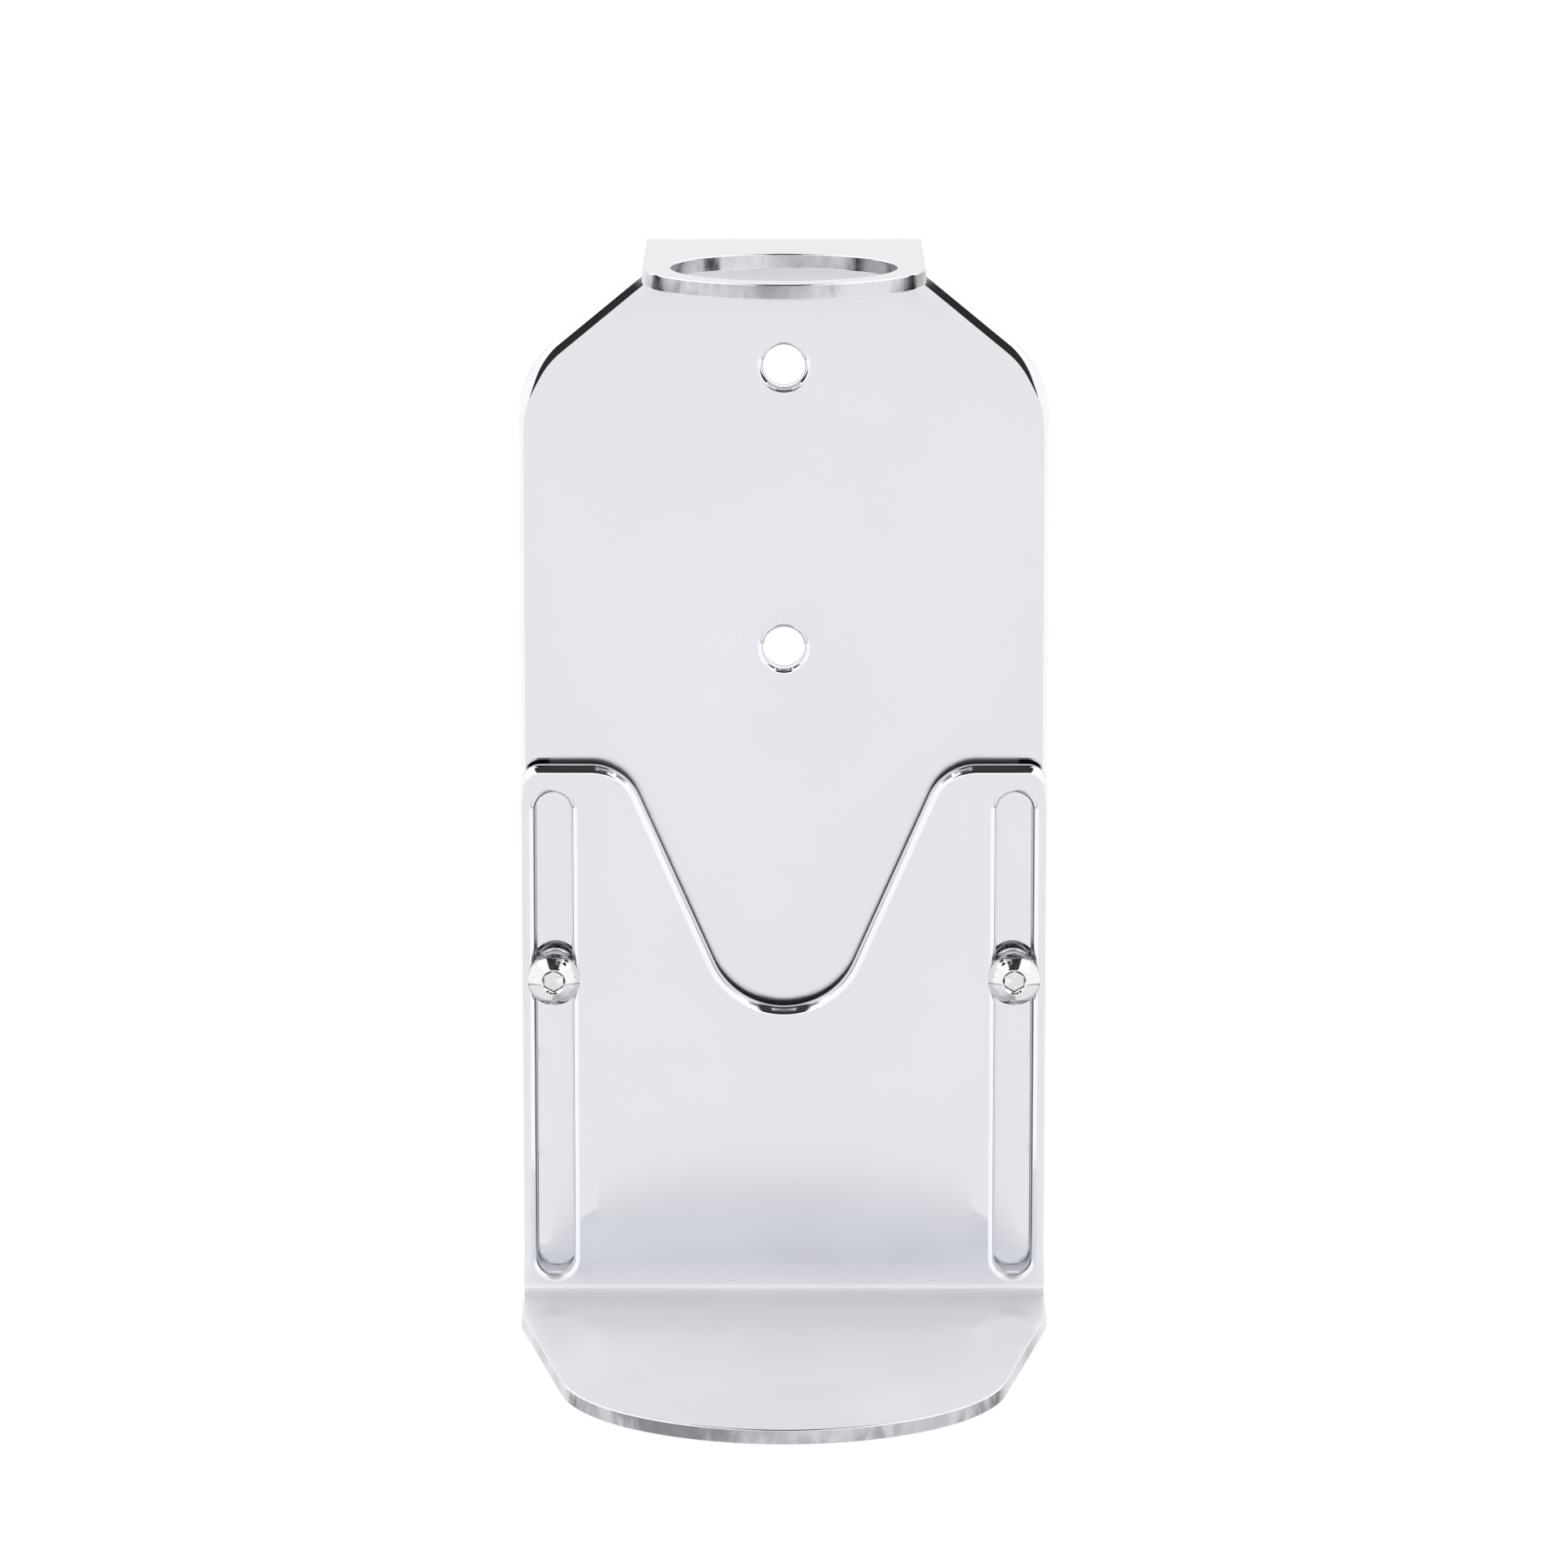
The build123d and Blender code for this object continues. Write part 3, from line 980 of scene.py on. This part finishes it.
def staged(name, corners, faces):
    """A piece of the studio from its corners and faces."""
    mesh = bpy.data.meshes.new(name)
    mesh.from_pydata([tuple(c) for c in corners], [], faces)
    obj = bpy.data.objects.new(name, mesh)
    bpy.context.scene.collection.objects.link(obj)
    return obj


def quads(rows, columns):
    """The faces of a grid of corners listed row by row."""
    starts = [r * columns + c for r in range(rows - 1) for c in range(columns - 1)]
    return [(i, i + 1, i + columns + 1, i + columns) for i in starts]


def floor_sheet(z):
    """A level square under the holder."""
    corners = [(a * FLOOR_HALF, b * FLOOR_HALF, z) for a, b in ((-1, -1), (1, -1), (1, 1), (-1, 1))]
    return staged("floor", corners, [(0, 1, 2, 3)])


def curved(name, side, first_edge, second_edge):
    """A sheet curved round one side of the holder, between two edges of (radius, z)."""
    corners = []
    for angle in np.linspace(BOX_FIRST, BOX_LAST, BOX_COLUMNS + 1):
        for radius, z in (first_edge, second_edge):
            corners.append((side * radius * math.sin(angle), -radius * math.cos(angle), z))
    return staged(name, corners, quads(BOX_COLUMNS + 1, 2))


def shoulder_flag(name, side):
    """A dark flag close to one shoulder, where the camera sees it in the rounding."""
    spots = (plate_high.x, plate_low.z), (plate_high.x, SHOULDER_CORNER_Z), (TONGUE_HALF, NECK_Z)
    points, normals = corner(*(np.array(spot) for spot in spots), SHOULDER_R)
    points, normals = np.vstack((points, spots[2])), np.vstack((normals, normals[-1:]))
    facing_up = normals[:, 1] > FLAG_LOWEST
    to_camera = np.array((0, -math.cos(CAMERA_PITCH), math.sin(CAMERA_PITCH)))
    corners = []
    for (x, z), (nx, nz) in zip(points[facing_up], normals[facing_up]):
        share = (nz - FLAG_LOWEST) / (normals[-1][1] - FLAG_LOWEST)
        for tilt in np.linspace(FLAG_FIRST, FLAG_FIRST + share * (FLAG_LAST - FLAG_FIRST), FLAG_STEPS):
            normal = np.array((nx * math.sin(tilt), -math.cos(tilt), nz * math.sin(tilt)))
            way = 2 * (normal @ to_camera) * normal - to_camera
            spot = np.array((x, plate_high.y - SHEET, z)) + FLAG_DISTANCE * way
            corners.append(spot * (side, 1, 1))
    return staged(name, corners, quads(facing_up.sum(), FLAG_STEPS))


def glowing(obj, radiance):
    """Makes a studio piece shine, or stay dark, for the polished steel alone."""
    material = bpy.data.materials.new(obj.name)
    material.use_nodes = True
    tree = material.node_tree
    tree.nodes.clear()
    glow = tree.nodes.new("ShaderNodeEmission")
    glow.inputs["Strength"].default_value = radiance
    output = tree.nodes.new("ShaderNodeOutputMaterial")
    tree.links.new(glow.outputs[0], output.inputs["Surface"])
    obj.data.materials.append(material)
    obj.visible_camera = False
    obj.visible_diffuse = False
    obj.visible_shadow = False


def studio_world():
    """A sky that is white at both sides, dark overhead in front and pale behind.

    Its steps are laid out by y and z of the direction, and by |x| / z for the dark gap."""
    world = bpy.data.worlds.new("studio")
    bpy.context.scene.world = world
    world.use_nodes = True
    sky = Nodes(world.node_tree)
    way = sky.add("ShaderNodeSeparateXYZ")
    sky.feed(way.inputs[0], sky.add("ShaderNodeTexCoord").outputs["Generated"])
    x, y, z = way.outputs
    lean = sky.math("DIVIDE", sky.math("ABSOLUTE", x, 0.0), sky.math("MAXIMUM", z, LOWEST_RISE))
    high = sky.span(lean, *GAP_LEAN, OVERHEAD_GAP, SIDE_LIGHT)
    low = sky.span(z, *BAND_RISE, HORIZON, SHELF_BAND)
    front = sky.mix(sky.share(z, GAP_RISE), low, high)
    back = sky.span(z, *BACK_RISE, BACK_HORIZON, BACK_LIGHT)
    background = sky.tree.nodes["Background"]
    background.inputs["Color"].default_value = (1, 1, 1, 1)
    sky.feed(background.inputs["Strength"], sky.mix(sky.share(y, TO_BACK), front, back))


def studio_sun():
    """One very soft light from above that keeps the floor evenly white."""
    light = bpy.data.lights.new("soft_light", "SUN")
    light.energy = SUN_STRENGTH
    light.angle = SUN_SPREAD
    obj = bpy.data.objects.new("soft_light", light)
    obj.rotation_euler = SUN_TILT
    obj.visible_glossy = False
    bpy.context.scene.collection.objects.link(obj)


def front_flag():
    """A dark flag high in front, which darkens the lower rims of the wall holes."""
    corners = []
    for z in (FRONT_FLAG_LOW, FRONT_FLAG_HIGH):
        corners.extend((x, FRONT_FLAG_Y, z) for x in (-FRONT_FLAG_HALF, FRONT_FLAG_HALF))
    return staged("front_flag", corners, quads(2, 2))


def studio_cards(floor_z):
    """Soft boxes round both sides, a grey sheet beyond each, and the dark flags."""
    box = [(BOX_DISTANCE, floor_z + height) for height in (BOX_CLEAR, BOX_HEIGHT)]
    card = [(distance, floor_z + LOW_CARD_RISE) for distance in (LOW_CARD_NEAR, LOW_CARD_FAR)]
    for name, side in SIDES.items():
        glowing(curved(f"soft_box_{name}", side, *box), SOFT_BOX)
        glowing(curved(f"low_card_{name}", side, *card), LOW_CARD)
        glowing(shoulder_flag(f"shoulder_flag_{name}", side), FLAG)
    glowing(front_flag(), FLAG)


def studio_camera():
    """The camera that looks down at the holder from the front."""
    data = bpy.data.cameras.new("camera")
    data.lens = LENS
    data.sensor_width = SENSOR
    data.clip_end = SIGHT
    obj = bpy.data.objects.new("camera", data)
    back, rise = CAMERA_DISTANCE * math.cos(CAMERA_PITCH), CAMERA_DISTANCE * math.sin(CAMERA_PITCH)
    obj.location = (0, plate_high.y - back, LOOK_AT_Z + rise)
    obj.rotation_euler = (math.pi / 2 - CAMERA_PITCH, 0, 0)
    bpy.context.scene.collection.objects.link(obj)
    bpy.context.scene.camera = obj


def dress(piece, node, body, slot_name, *materials):
    """Puts a piece in a CAD node's place, on its body and with its materials."""
    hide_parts(node)
    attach(piece, body)
    for material in materials:
        piece.data.materials.append(material)


studio_camera()
floor_z = plate_low.z - FLOOR_DROP
floor = floor_sheet(floor_z)
floor.data.materials.append(floor_paper("white_paper"))
studio_cards(floor_z)
studio_sun()
studio_world()
bpy.context.scene.view_settings.view_transform = "Standard"

plate_polish = mirror_steel("plate_polished_steel", STEEL, FLAT_ROUGH, 1.0)
tray_polish = mirror_steel("tray_polished_steel", STEEL, SHELF_ROUGH, SHELF_METAL)
cut_edge = cut_steel("cut_edge_steel_painted_sheen", CUT_COLOUR)
screw_steel = turned_steel("screw_steel", SCREW_COLOUR, SCREW_ROUGH, SCREW_GROOVE)
nut_steel = turned_steel("nut_steel", NUT_COLOUR, NUT_ROUGH, NUT_GROOVE)
dress(back_plate_sheet(), "back_plate", "back", "plate_steel", plate_polish, cut_edge)
dress(tray_sheet(), "sliding_tray", "tray", "tray_steel", tray_polish, cut_edge)
for name, side in SIDES.items():
    screw = clamp_screw(f"clamp_screw_{name}_turned", side)
    dress(screw, f"clamp_screw_{name}", f"screw_{name}", "screw_steel", screw_steel)
    nut = clinch_nut(f"clinch_nut_{name}_turned", side)
    dress(nut, f"clinch_nut_{name}", "back", "nut_steel", nut_steel)
